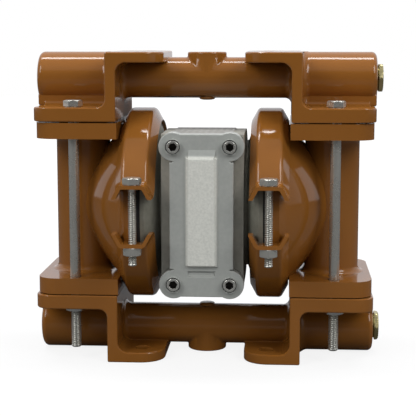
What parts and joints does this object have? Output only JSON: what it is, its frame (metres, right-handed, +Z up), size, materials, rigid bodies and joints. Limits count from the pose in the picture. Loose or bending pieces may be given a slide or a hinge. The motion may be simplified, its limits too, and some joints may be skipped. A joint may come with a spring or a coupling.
{
  "type": "air operated diaphragm pump",
  "caption": "Air operated double diaphragm pump: two domed chambers clamped to a centre block, joined by flanged manifolds with threaded ports and foot plates.",
  "frame": {"origin": "middle of the four lower foot holes, on the plane of the lower foot faces", "axes": "+Z up, +X along the chambers towards the plugged ports, -Y towards the valve cover"},
  "size_m": [0.271, 0.1905, 0.24],
  "materials": {
    "black_rubber": "matte",
    "bronze": "machined bronze",
    "casting_paint": "glossy baked enamel",
    "cover_grey": "satin grey enamel",
    "grey_plastic": "matte",
    "nickel_brass": "nickel plated brass",
    "raw_aluminium": "as cast, dull",
    "stainless": "machined",
    "white_plastic": "satin",
    "zinc_steel": "zinc plated"
  },
  "bodies": {
    "housing": {"discharge_manifold": "casting_paint", "suction_manifold": "casting_paint", "liquid_chamber_left": "casting_paint", "liquid_chamber_right": "casting_paint", "air_chamber_left": "raw_aluminium", "air_chamber_right": "raw_aluminium", "centre_block": "raw_aluminium", "clamp_upper_left": "casting_paint", "clamp_lower_left": "casting_paint", "clamp_upper_right": "casting_paint", "clamp_lower_right": "casting_paint", "clamp_bolts": "zinc_steel", "clamp_nuts": "zinc_steel", "tie_bolts": "zinc_steel", "tie_nuts": "stainless", "diaphragm_left": "black_rubber", "diaphragm_right": "black_rubber", "shaft_bushings": "bronze", "shaft_seals": "black_rubber", "discharge_seats": "stainless", "suction_seats": "stainless", "seat_seals": "black_rubber", "discharge_cages": "white_plastic", "suction_cages": "white_plastic", "valve_cover": "cover_grey", "cover_gasket": "black_rubber", "cover_screws": "zinc_steel", "valve_sleeve": "bronze", "spool_bumpers": "black_rubber", "pilot_sleeve": "bronze", "air_chamber_screws": "zinc_steel", "discharge_plug": "nickel_brass", "suction_plug": "nickel_brass", "muffler": "grey_plastic"},
    "shaft_assembly": {"diaphragm_shaft": "stainless", "inner_plate_left": "raw_aluminium", "inner_plate_right": "raw_aluminium", "outer_plate_left": "stainless", "outer_plate_right": "stainless"},
    "discharge_ball_left": {"discharge_ball_left": "white_plastic"},
    "discharge_ball_right": {"discharge_ball_right": "white_plastic"},
    "suction_ball_left": {"suction_ball_left": "white_plastic"},
    "suction_ball_right": {"suction_ball_right": "white_plastic"},
    "valve_spool": {"valve_spool": "stainless"},
    "pilot_spool": {"pilot_spool": "stainless"}
  },
  "joints": [
    {"name": "shaft_stroke", "type": "slide", "parent": "housing", "child": "shaft_assembly", "axis": [1, 0, 0], "range_m": [-0.0065, 0.0065], "deforming": ["diaphragm_left", "diaphragm_right"]},
    {"name": "pilot_spool_slide", "type": "slide", "parent": "housing", "child": "pilot_spool", "axis": [1, 0, 0], "range_m": [-0.002, 0.002]},
    {"name": "valve_spool_slide", "type": "slide", "parent": "housing", "child": "valve_spool", "axis": [0, 0, 1], "range_m": [0, 0.009]},
    {"name": "discharge_ball_left_lift", "type": "slide", "parent": "housing", "child": "discharge_ball_left", "axis": [0, 0, 1], "range_m": [0, 0.006]},
    {"name": "discharge_ball_right_lift", "type": "slide", "parent": "housing", "child": "discharge_ball_right", "axis": [0, 0, 1], "range_m": [0, 0.006]},
    {"name": "suction_ball_left_lift", "type": "slide", "parent": "housing", "child": "suction_ball_left", "axis": [0, 0, 1], "range_m": [0, 0.006]},
    {"name": "suction_ball_right_lift", "type": "slide", "parent": "housing", "child": "suction_ball_right", "axis": [0, 0, 1], "range_m": [0, 0.006]}
  ],
  "couplings": [
    {"joint": "pilot_spool_slide", "follows": "shaft_stroke", "ratio": 0.30769}
  ]
}
